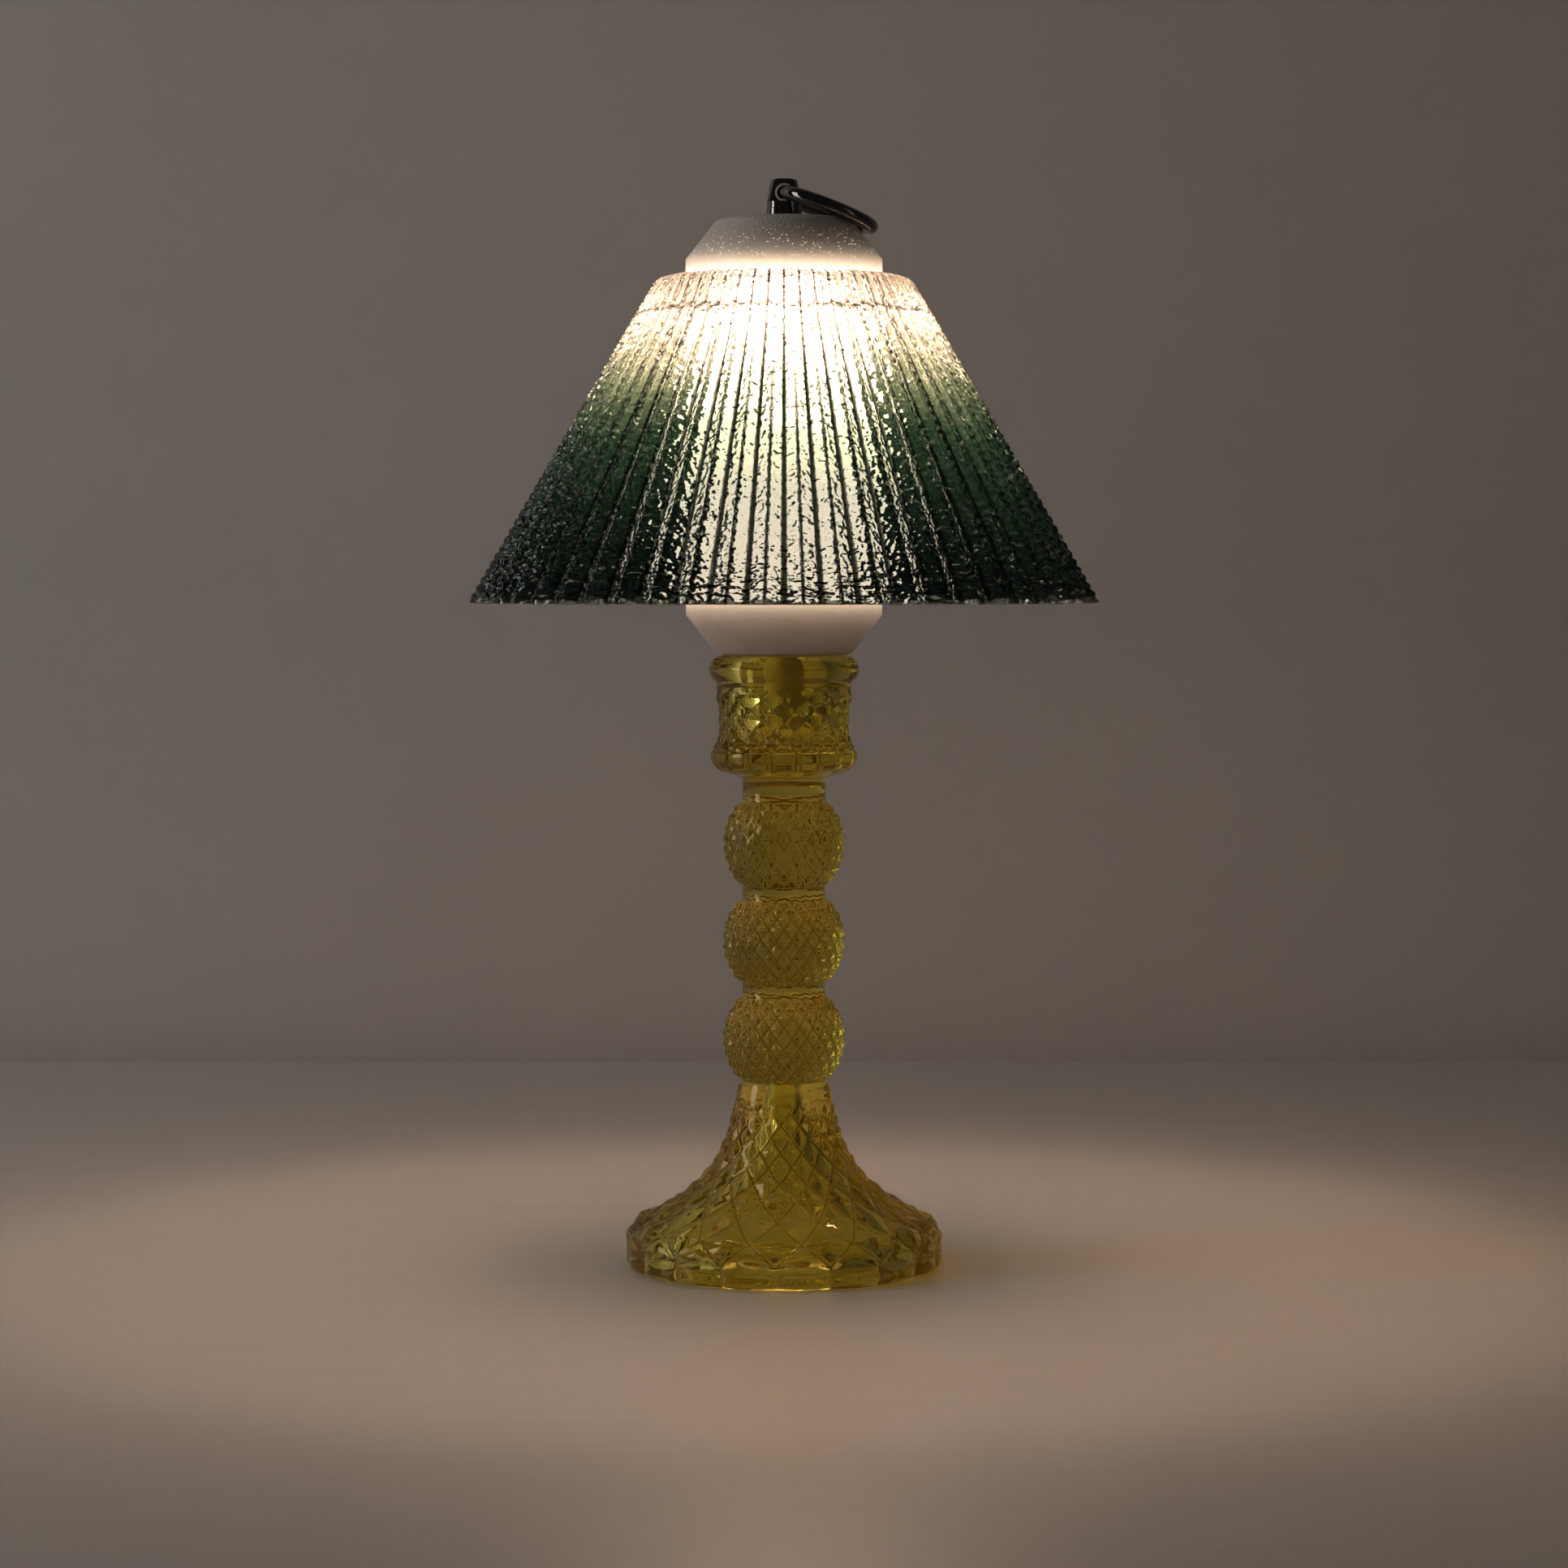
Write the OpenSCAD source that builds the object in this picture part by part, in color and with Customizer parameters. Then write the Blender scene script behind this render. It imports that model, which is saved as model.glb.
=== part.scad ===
// Small table lamp: a pressed-glass candlestick carries a battery lantern on a peg,
// and a pleated shade hangs under the lantern's top cap. A ring on a swivel post lets
// the lantern be lifted out and hung up. Millimetres, +Z up, origin at the centre of
// the foot's underside.

/* [Candlestick] */
// Outer radius of the round foot
foot_r = 30.5; // [29.5:0.5:31.5]
// Height of the foot, up to the lowest ball of the stem
foot_h = 36.2; // [35.8:0.1:37]
// Radius of each ball of the stem
ball_r = 11.6; // [11.2:0.1:12]
// Distance between the centres of neighbouring balls
ball_pitch = 19; // [18.75:0.25:20]
// Radius of the plain necks between the balls
neck_r = 8.1; // [7.9:0.1:8.3]
// Height of the candle cup above the top neck
cup_h = 23.8; // [23.4:0.2:24.6]
// Radius of the candle socket
socket_r = 8.7; // [8.5:0.1:8.9]
// Depth of the candle socket
socket_depth = 16.5; // [16:0.5:17.5]

/* [Lantern] */
// Outer radius of the two end caps
cap_r = 19; // [19:0.1:19.3]
// Radius of the flat face at each end of the lantern
cap_face_r = 12.9; // [12.6:0.1:13]
// Height of the sloping part of each cap
cap_cone_h = 7.8; // [7.7:0.1:8]
// Height of the straight band of each cap
cap_band_h = 2.8; // [2.8:0.1:3.4]
// Length of the diffuser between the caps
diffuser_len = 60.8; // [60:0.2:64]
// Radius of the peg that stands in the candle socket
peg_r = 3.95; // [3.5:0.05:4]
// Length of the peg below the lantern
peg_len = 14.4; // [12:0.2:15]

/* [Shade] */
// Radius of the shade's lower rim
shade_rim_r = 60.6; // [58:0.2:62]
// Radius of the shade's shoulder
shade_top_r = 25.2; // [24.8:0.2:26]
// Height from the lower rim to the shoulder
shade_h = 61; // [59:0.2:62]
// Thickness of the shade's wall, measured along the radius
shade_wall = 1.6; // [1.2:0.1:2]

/* [Hanging ring] */
// Mean radius of the ring
ring_r = 9; // [9:0.05:9.3]
// Radius of the ring's wire
wire_r = 1.4; // [1.2:0.05:1.4]
// How far the ring hangs below level on either side, in degrees
ring_droop = 21; // [17.5:0.5:21]

/* [Hidden] */
$fn = 96;

eps = 0.02;             // overlap between the pieces of one solid
seat_gap = 0.05;        // air between pieces that rest on each other but part
run_gap = 0.06;         // radial clearance of a shaft in its hole

// Candlestick levels
ball_cut = sqrt(ball_r * ball_r - neck_r * neck_r);
ball_z = [for (i = [0:2]) foot_h + ball_cut + i * ball_pitch];
top_neck_h = 4.4;
cup_z = ball_z[2] + ball_cut + top_neck_h;
stand_top = cup_z + cup_h;
foot_band_h = 6;        // upright band round the foot
foot_neck_r = 9;
rim_tube_r = 2.75;      // half thickness of the rolled rim
bulge_tube_r = 3;       // half thickness of the bulge under the cup

// The foot's outline and its hollow both fall away from the stem in smooth flares
flare_core_r = 8.2;
flare_rate = 8.5;
flare_z = 9.5;
flare_reach = foot_r - 3.2 - flare_core_r;
hollow_core_r = 1.9;
hollow_rate = 15;
hollow_bend = 1.7;
hollow_reach = foot_r - 3.4 - hollow_core_r;
hollow_top = 38.5;

// Lantern levels
body_z = stand_top + seat_gap;
cap_h = cap_cone_h + cap_band_h;
diffuser_z = body_z + cap_h;
diffuser_top = diffuser_z + diffuser_len;
flange_slot = 2;        // space between diffuser and top cap that holds the shade's flange
cap_z = diffuser_top + flange_slot;
body_top = cap_z + cap_h;
cap_slope = atan2(cap_r - cap_face_r, cap_cone_h);
cap_wall = 2 / cos(cap_slope);
cap_end = 2.4;          // thickness of each cap's end wall
cap_edge = 2.6;         // rounding round the flat face of each cap
cap_knee = 0.8;         // rounding between each cap's slope and its band

diffuser_r = 18.5;
diffuser_in_r = 17;
spigot_r = 17.6;        // diffuser's lower end, which sits inside the bottom cap
spigot_h = 2.25;
neck_out_r = 16;        // top cap's neck, which screws into the diffuser
neck_in_r = 12;
neck_drop = 4.25;

// Battery holder levels
cell_r = 7.8;
cell_len = 27;
tube_in_r = 8;
tube_r = 8.8;
tube_floor_z = body_z + 5.4;
plate_z = tube_floor_z + 1;
plate_t = 0.3;
spring_z = plate_z + plate_t;
spring_h = 2.5;
cell_z = spring_z + spring_h;
contact_z = cell_z + cell_len + 0.8;
contact_t = 0.4;
lid_z = contact_z + contact_t;
lid_t = 1.2;

// Light engine levels, under and inside the top cap
spreader_t = 2;
board_t = 1.6;
led_t = 0.8;
led_side = 3;
led_ring_r = 9.8;
led_count = 6;
spreader_z = cap_z - neck_drop - spreader_t;
board_z = spreader_z - board_t;
board_r = 15.6;
screw_ring_r = 13.6;
screw_r = 0.95;
driver_z = cap_z + 1.75;
driver_t = 1;
lead_pos = [2, 10.8];
lead_r = 0.5;

// Power button, square to the bottom cap's slope at the back
button_up = 4.2;
button_at = cap_face_r + button_up / cap_cone_h * (cap_r - cap_face_r);
button_r = 2.4;
button_tilt = -(90 + cap_slope);

// Shade levels
collar_in_r = 18.9;
collar_r = 20.4;
collar_h = 8;
flange_in_r = 16.3;
flange_t = 1.6;
flange_z = diffuser_top + (flange_slot - flange_t) / 2;
shade_top_z = flange_z + flange_t;
shoulder_z = shade_top_z - 1.9;
shade_rim_z = shoulder_z - shade_h;

// Hanger levels
base_r = 3.4;
base_h = 2;
post_z = body_top + base_h + 0.1;
post_disc_h = 1.2;
post_r = 3.3;
post_tip_r = 2.65;
post_h = 5.6;
post_flat = 1.7;        // half thickness of the post where the ring goes through
stem_r = 1.5;
stem_drop = 4.45;
eye_r = 1.75;
eye_z = post_z + post_disc_h + eye_r;

function arc(at, r, from, to, steps) =
    [for (i = [0:steps]) let (a = from + (to - from) * i / steps) at + r * [cos(a), sin(a)]];
function flare_radius(z) = flare_core_r + flare_reach * exp(-(z - flare_z) / flare_rate);
function hollow_radius(z) =
    hollow_core_r + hollow_reach * exp(-pow(max(z, 0) / hollow_rate, hollow_bend));
function ball_outline(z) =
    let (a = asin(ball_cut / ball_r)) arc([0, z], ball_r, -a, a, 14);

// ---------------------------------------------------------------- candlestick

module candlestick_outline() {
    flare_from = 8.8;
    flare_to = 33;
    polygon(concat(
        [[0, 0], [foot_r - 0.6, 0]],
        arc([foot_r - 0.6, 0.6], 0.6, -90, 0, 3),
        arc([foot_r - 2.4, foot_band_h], 2.4, 0, 60, 4),
        [for (i = [0:12]) let (z = flare_from + (flare_to - flare_from) * i / 12)
            [flare_radius(z), z]],
        [[foot_neck_r, foot_h - 0.9], [neck_r, foot_h]],
        ball_outline(ball_z[0]),
        ball_outline(ball_z[1]),
        ball_outline(ball_z[2]),
        [[neck_r, cup_z], [neck_r + 0.9, cup_z + 0.4]],
        arc([neck_r + 3, cup_z + 4.3], bulge_tube_r, -70, 60, 8),
        [[neck_r + 4.1, cup_z + 8.6], [neck_r + 4.1, cup_z + 13], [neck_r + 4.5, cup_z + 17.6]],
        arc([neck_r + 3.6, stand_top - rim_tube_r], rim_tube_r, -60, 90, 9),
        [[0, stand_top]]
    ));
}

module foot_hollow_outline() {
    polygon(concat(
        [[0, -1], [hollow_radius(-1), -1]],
        [for (i = [0:16]) let (z = (hollow_top - 1.4) * i / 16) [hollow_radius(z), z]],
        [[hollow_core_r - 0.3, hollow_top - 0.5], [hollow_core_r - 1.1, hollow_top], [0, hollow_top]]
    ));
}

module candlestick() {
    mouth_h = 1.2;
    color([0.80, 0.62, 0.12, 0.6])
    difference() {
        rotate_extrude() candlestick_outline();
        rotate_extrude() foot_hollow_outline();
        translate([0, 0, stand_top - socket_depth]) cylinder(r = socket_r, h = socket_depth + 1);
        rotate_extrude() polygon([
            [0, stand_top - mouth_h], [socket_r - eps, stand_top - mouth_h],
            [socket_r + mouth_h, stand_top + eps], [0, stand_top + eps]
        ]);
    }
}

// ------------------------------------------------------------- lantern casing

// Outline of a cap that stands on its flat face
module cap_outline() {
    rim_edge = 0.25;
    face_flat = cap_face_r - cap_edge * tan((90 - cap_slope) / 2);
    knee_z = cap_cone_h + cap_knee * tan(cap_slope / 2);
    polygon(concat(
        [[0, 0]],
        arc([face_flat, cap_edge], cap_edge, -90, -cap_slope, 5),
        arc([cap_r - cap_knee, knee_z], cap_knee, -cap_slope, 0, 3),
        [[cap_r, cap_h - rim_edge], [cap_r - rim_edge, cap_h], [0, cap_h]]
    ));
}

module bottom_cap() {
    ledge_z = cap_h - spigot_h;
    slope_in = cap_face_r + cap_end / cap_cone_h * (cap_r - cap_face_r) - cap_wall;
    color("white")
    translate([0, 0, body_z])
    difference() {
        rotate_extrude() cap_outline();
        rotate_extrude() polygon([
            [0, cap_end], [slope_in, cap_end], [cap_r - 2.8, cap_cone_h - 0.3], [cap_r - 2.8, ledge_z],
            [spigot_r + 0.1, ledge_z], [spigot_r + 0.1, cap_h + 1], [0, cap_h + 1]
        ]);
        translate([0, 0, -1]) cylinder(r = 2, h = cap_end + 2);
        translate([0, button_at, button_up]) rotate([button_tilt, 0, 0])
            translate([0, 0, -4]) cylinder(r = button_r + run_gap, h = 8);
    }
}

module peg() {
    shank_r = 1.95;
    shank_h = 4.9;
    tip_r = 2.6;
    color("dimgray")
    rotate_extrude() polygon(concat(
        [[0, body_z - peg_len]],
        arc([peg_r - tip_r, body_z - peg_len + tip_r], tip_r, -90, 0, 6),
        [[peg_r, body_z], [shank_r, body_z], [shank_r, body_z + shank_h], [0, body_z + shank_h]]
    ));
}

module peg_nut() {
    across_flats = 7;
    nut_h = 2.2;
    color("silver")
    translate([0, 0, body_z + cap_end])
    difference() {
        cylinder(d = across_flats / cos(30), h = nut_h, $fn = 6);
        translate([0, 0, -1]) cylinder(r = 1.98, h = nut_h + 2);
    }
}

module diffuser() {
    spigot_in_r = 16.4;
    ring_h = 5;
    color([1, 0.9, 0.72])
    rotate_extrude() polygon([
        [spigot_in_r, diffuser_z - spigot_h], [spigot_r, diffuser_z - spigot_h],
        [spigot_r, diffuser_z], [diffuser_r, diffuser_z], [diffuser_r, diffuser_top],
        [neck_out_r + 0.1, diffuser_top], [neck_out_r + 0.1, diffuser_top - ring_h],
        [diffuser_in_r, diffuser_top - ring_h - 0.9], [diffuser_in_r, diffuser_z + 0.6],
        [spigot_in_r, diffuser_z]
    ]);
}

module top_cap() {
    shelf = 1.75;
    inner_top = cap_h - cap_end;
    slope_in = cap_face_r + cap_end / cap_cone_h * (cap_r - cap_face_r) - cap_wall;
    color("white")
    translate([0, 0, cap_z])
    difference() {
        union() {
            translate([0, 0, cap_h]) mirror([0, 0, 1]) rotate_extrude() cap_outline();
            translate([0, 0, -neck_drop]) cylinder(r = neck_out_r, h = neck_drop + 1);
        }
        rotate_extrude() polygon([
            [0, -neck_drop - 1], [neck_in_r, -neck_drop - 1], [neck_in_r, shelf],
            [cap_r - 2.8, shelf], [cap_r - 2.8, cap_band_h + 0.3], [slope_in, inner_top], [0, inner_top]
        ]);
        cylinder(r = stem_r + run_gap, h = cap_h + 1);
        for (a = [30, 150, 270]) rotate(a)
            translate([screw_ring_r, 0, -neck_drop - 1]) cylinder(r = screw_r + 0.05, h = 5, $fn = 32);
    }
}

// -------------------------------------------------------------- power supply

module battery_tube() {
    wall_z = body_z + cap_end;
    color("white")
    difference() {
        union() {
            translate([0, 0, wall_z]) cylinder(r = tube_r, h = lid_z - wall_z);
            // rib that carries the switch board
            translate([0, button_at, body_z + button_up]) rotate([button_tilt, 0, 0])
                translate([-1, -1.5, -9.8]) cube([2, 3, 3.1]);
        }
        translate([0, 0, plate_z]) cylinder(r = tube_in_r, h = lid_z);
        translate([0, 0, wall_z - 1]) cylinder(r = tube_in_r, h = tube_floor_z - wall_z + 1);
        translate([0, 0, wall_z]) cylinder(r = 1.2, h = lid_z, $fn = 32);
    }
}

module spring_plate() {
    color("silver") translate([0, 0, plate_z]) cylinder(r = 7.2, h = plate_t);
}

// A conical coil, swept as one closed polyhedron
module contact_spring() {
    wire = 0.35;
    turns = 2.5;
    steps = 50;
    sides = 8;
    wide_r = 5.6;
    narrow_r = 3.2;
    rise = spring_h - 2 * wire - 0.04;
    points = [for (i = [0:steps], j = [0:sides - 1])
        let (t = i / steps, a = 360 * turns * t, b = 360 * j / sides,
             r = wide_r + (narrow_r - wide_r) * t + wire * cos(b))
        [r * cos(a), r * sin(a), rise * t + wire * sin(b)]];
    sides_faces = [for (i = [0:steps - 1], j = [0:sides - 1])
        let (k = (j + 1) % sides)
        [i * sides + j, i * sides + k, (i + 1) * sides + k, (i + 1) * sides + j]];
    ends = [[for (j = [0:sides - 1]) sides - 1 - j], [for (j = [0:sides - 1]) steps * sides + j]];
    color("silver") translate([0, 0, spring_z + wire + 0.02])
        polyhedron(points = points, faces = concat(sides_faces, ends), convexity = 6);
}

module battery() {
    color("steelblue") translate([0, 0, cell_z]) {
        cylinder(r = cell_r, h = cell_len);
        cylinder(r = 2.8, h = cell_len + 0.8);
    }
}

module positive_contact() {
    color("silver") translate([0, 0, contact_z]) cylinder(r = 5, h = contact_t);
}

module tube_lid() {
    color("white") translate([0, 0, lid_z]) cylinder(r = tube_r, h = lid_t);
}

module reflector_cone() {
    color("white") translate([0, 0, lid_z + lid_t]) cylinder(r1 = tube_r, r2 = 1.2, h = 11.5);
}

// -------------------------------------------------------------- light engine

// Holes for the two leads and the three screws, shared by both discs
module board_holes(depth) {
    for (side = [-1, 1]) translate([side * lead_pos[0], lead_pos[1], -1])
        cylinder(r = lead_r + 0.15, h = depth + 2, $fn = 24);
    for (a = [30, 150, 270]) rotate(a) translate([screw_ring_r, 0, -1])
        cylinder(r = screw_r + 0.1, h = depth + 2, $fn = 32);
}

module led_board() {
    color("whitesmoke") translate([0, 0, board_z]) difference() {
        cylinder(r = board_r, h = board_t);
        board_holes(board_t);
    }
}

module leds() {
    color("gold") for (i = [0:led_count - 1]) rotate(i * 360 / led_count)
        translate([led_ring_r - led_side / 2, -led_side / 2, board_z - led_t])
            cube([led_side, led_side, led_t]);
}

module heat_spreader() {
    color("silver") translate([0, 0, spreader_z]) difference() {
        cylinder(r = board_r, h = spreader_t);
        board_holes(spreader_t);
    }
}

module board_screws() {
    head_r = 1.7;
    head_h = 1;
    shank_h = 7.2;
    color("silver") for (a = [30, 150, 270]) rotate(a) translate([screw_ring_r, 0, board_z - head_h]) {
        cylinder(r = head_r, h = head_h, $fn = 32);
        cylinder(r = screw_r, h = head_h + shank_h, $fn = 32);
    }
}

module driver_board() {
    color("darkgreen") translate([0, 0, driver_z]) cylinder(r = 13.5, h = driver_t);
}

module driver_parts() {
    color("black") translate([0, 0, driver_z + driver_t]) {
        translate([3, -2.5, 0]) cube([5, 5, 2.4]);
        translate([-7, 0, 0]) cube([4, 4, 1.2]);
        translate([0, -7, 0]) cylinder(r = 2, h = 3.2, $fn = 48);
    }
}

module power_leads() {
    from = body_z + 9.1;
    color("firebrick") for (side = [-1, 1])
        translate([side * lead_pos[0], lead_pos[1], from])
            cylinder(r = lead_r, h = driver_z - from, $fn = 24);
}

// -------------------------------------------------------------------- switch

module at_button() {
    translate([0, button_at, body_z + button_up]) rotate([button_tilt, 0, 0]) children();
}

module switch_board() {
    color("darkgreen") at_button() translate([-2.5, -2.5, -6.7]) cube([5, 5, 0.8]);
}

module tact_switch() {
    side = 4.5;
    color("black") at_button() difference() {
        translate([-side / 2, -side / 2, -5.9]) cube([side, side, 1.8]);
        translate([0, 0, -5.1]) cylinder(r = 1.1, h = 2, $fn = 32);
    }
}

module power_button() {
    color("gainsboro") at_button() {
        translate([0, 0, -3]) cylinder(r = button_r, h = 3.9);
        translate([0, 0, -3.3]) cylinder(r = 3.1, h = 0.8);
    }
}

module switch_plunger() {
    color("dimgray") at_button() translate([0, 0, -4.3]) cylinder(r = 1, h = 1, $fn = 32);
}

// --------------------------------------------------------------------- shade

module shade_cone() {
    bond = 0.05;
    color([0.12, 0.36, 0.25, 0.8])
    rotate_extrude() polygon([
        [collar_r + bond, shade_top_z], [collar_r + 2.2, shade_top_z - 0.2],
        [shade_top_r - 0.9, shade_top_z - 0.9], [shade_top_r, shoulder_z],
        [shade_rim_r, shade_rim_z], [shade_rim_r - shade_wall, shade_rim_z],
        [shade_top_r - shade_wall, shoulder_z - 0.4], [collar_r + bond, shoulder_z + 0.4]
    ]);
}

module shade_collar() {
    color([0.85, 0.92, 0.88, 0.5])
    rotate_extrude() polygon([
        [flange_in_r, flange_z], [collar_in_r, flange_z], [collar_in_r, shade_top_z - collar_h],
        [collar_r, shade_top_z - collar_h], [collar_r, shade_top_z], [flange_in_r, shade_top_z]
    ]);
}

// -------------------------------------------------------------------- hanger

module hanger_base() {
    color("dimgray") translate([0, 0, body_top]) difference() {
        cylinder(r = base_r, h = base_h);
        translate([0, 0, -1]) cylinder(r = stem_r + run_gap, h = base_h + 2);
    }
}

module swivel_post() {
    color("dimgray") difference() {
        union() {
            translate([0, 0, post_z]) cylinder(r = post_r, h = post_disc_h);
            intersection() {
                translate([0, 0, post_z]) rotate_extrude() polygon([
                    [0, 0], [post_r, 0], [post_r, post_disc_h], [post_tip_r, post_h - 0.7],
                    [post_tip_r - 0.2, post_h - 0.2], [post_tip_r - 0.7, post_h], [0, post_h]
                ]);
                translate([-post_r, -post_flat, post_z]) cube([2 * post_r, 2 * post_flat, post_h]);
            }
            translate([0, 0, body_top - stem_drop]) cylinder(r = stem_r, h = stem_drop + base_h + 1);
        }
        translate([0, -post_r - 1, eye_z]) rotate([-90, 0, 0]) cylinder(r = eye_r, h = 2 * post_r + 2);
    }
}

module post_nut() {
    nut_h = 1.6;
    color("silver") translate([0, 0, body_top - cap_end - nut_h - 0.1]) difference() {
        cylinder(r = 2.9, h = nut_h, $fn = 6);
        translate([0, 0, -1]) cylinder(r = stem_r + eps, h = nut_h + 2);
    }
}

module hang_ring() {
    color("dimgray")
    translate([0, 0, eye_z]) rotate([0, ring_droop, 0]) translate([ring_r, 0, 0])
        rotate_extrude() translate([ring_r, 0]) circle(r = wire_r, $fn = 48);
}

candlestick();
bottom_cap();
peg();
peg_nut();
diffuser();
top_cap();
battery_tube();
spring_plate();
contact_spring();
battery();
positive_contact();
tube_lid();
reflector_cone();
led_board();
leds();
heat_spreader();
board_screws();
driver_board();
driver_parts();
power_leads();
switch_board();
tact_switch();
power_button();
switch_plunger();
shade_cone();
shade_collar();
hanger_base();
swivel_post();
post_nut();
hang_ring();
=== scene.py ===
import math

import bpy
import numpy as np
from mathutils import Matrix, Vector


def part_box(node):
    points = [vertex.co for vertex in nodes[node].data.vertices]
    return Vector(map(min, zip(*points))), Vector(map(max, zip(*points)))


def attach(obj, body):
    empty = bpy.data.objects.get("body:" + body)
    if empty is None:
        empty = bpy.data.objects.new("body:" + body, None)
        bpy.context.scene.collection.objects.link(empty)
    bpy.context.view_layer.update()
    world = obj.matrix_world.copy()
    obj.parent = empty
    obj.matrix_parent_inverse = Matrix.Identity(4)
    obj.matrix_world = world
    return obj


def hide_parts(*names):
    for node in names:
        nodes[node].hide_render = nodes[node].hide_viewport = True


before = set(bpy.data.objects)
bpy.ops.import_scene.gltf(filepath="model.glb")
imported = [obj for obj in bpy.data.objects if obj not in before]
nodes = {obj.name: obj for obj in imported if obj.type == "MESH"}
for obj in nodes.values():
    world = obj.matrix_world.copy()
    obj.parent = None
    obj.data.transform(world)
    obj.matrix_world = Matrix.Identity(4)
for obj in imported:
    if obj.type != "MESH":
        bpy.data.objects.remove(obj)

MM = 0.001
TAU = 2 * math.pi
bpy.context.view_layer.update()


# ------------------------------------------------------------------ mesh tools

class Ring:
    """A closed ring of points round the Z axis, in millimetres. Radius and height may differ from point to point.
    lean says which way the triangles above it lean, and line marks the points on a pressed or folded line."""

    def __init__(self, count, radius, height, lean=None, line=None, turn=None):
        angle = TAU * (np.arange(count) if turn is None else turn) / count
        self.points = np.stack([radius * np.cos(angle), radius * np.sin(angle), height + 0 * angle], axis=1)
        self.lean = lean
        self.line = np.zeros(count) if line is None else line


def smoothstep(low, high, x):
    t = np.clip((x - low) / (high - low), 0, 1)
    return t * t * (3 - 2 * t)


def band_faces(low, high, low_at, high_at, lean):
    """Faces between two rings. Equal rings give triangles that lean as asked; others are zipped together."""
    low_at, high_at = int(low_at), int(high_at)
    faces = []
    if low == high:
        for j in range(low):
            k = (j + 1) % low
            a, b, c, d = low_at + j, low_at + k, high_at + k, high_at + j
            if lean is None:
                faces.append((a, b, c, d))
            elif lean[j]:
                faces += [(a, b, d), (b, c, d)]
            else:
                faces += [(a, b, c), (a, c, d)]
        return faces
    i = j = 0
    while i < low or j < high:
        if j == high or (i < low and (i + 1) * high <= (j + 1) * low):
            faces.append((low_at + i, low_at + (i + 1) % low, high_at + j % high))
            i += 1
        else:
            faces.append((low_at + i % low, high_at + (j + 1) % high, high_at + j))
            j += 1
    return faces


def skin(name, rings, start=None, end=None):
    """One closed surface through rings of points. start and end are the heights of the points that close it on the
    axis; without them it closes on itself. The rings' line values are kept as a point attribute."""
    counts = [len(r.points) for r in rings]
    at = [0, *np.cumsum(counts)]
    faces = []
    for i in range(len(rings) - 1):
        faces += band_faces(counts[i], counts[i + 1], at[i], at[i + 1], rings[i].lean)
    points = [r.points for r in rings]
    line = [r.line for r in rings]
    if start is None:
        faces += band_faces(counts[-1], counts[0], at[-2], at[0], None)
    else:
        points.append(np.array([[0, 0, start], [0, 0, end]]))
        line.append(np.zeros(2))
        n, total = counts[0], at[-1]
        faces += [(total, (j + 1) % n, j) for j in range(n)]
        n = counts[-1]
        faces += [(at[-2] + j, at[-2] + (j + 1) % n, total + 1) for j in range(n)]
    obj = mesh_object(name, np.concatenate(points) * MM, faces)
    obj.data.attributes.new("line", "FLOAT", "POINT").data.foreach_set("value", np.concatenate(line))
    return obj


def mesh_object(name, points, faces):
    mesh = bpy.data.meshes.new(name)
    mesh.from_pydata([tuple(p) for p in points], [], faces)
    mesh.polygons.foreach_set("use_smooth", [True] * len(mesh.polygons))
    mesh.update()
    obj = bpy.data.objects.new(name, mesh)
    bpy.context.scene.collection.objects.link(obj)
    return obj


# -------------------------------------------------------------- material tools

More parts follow.
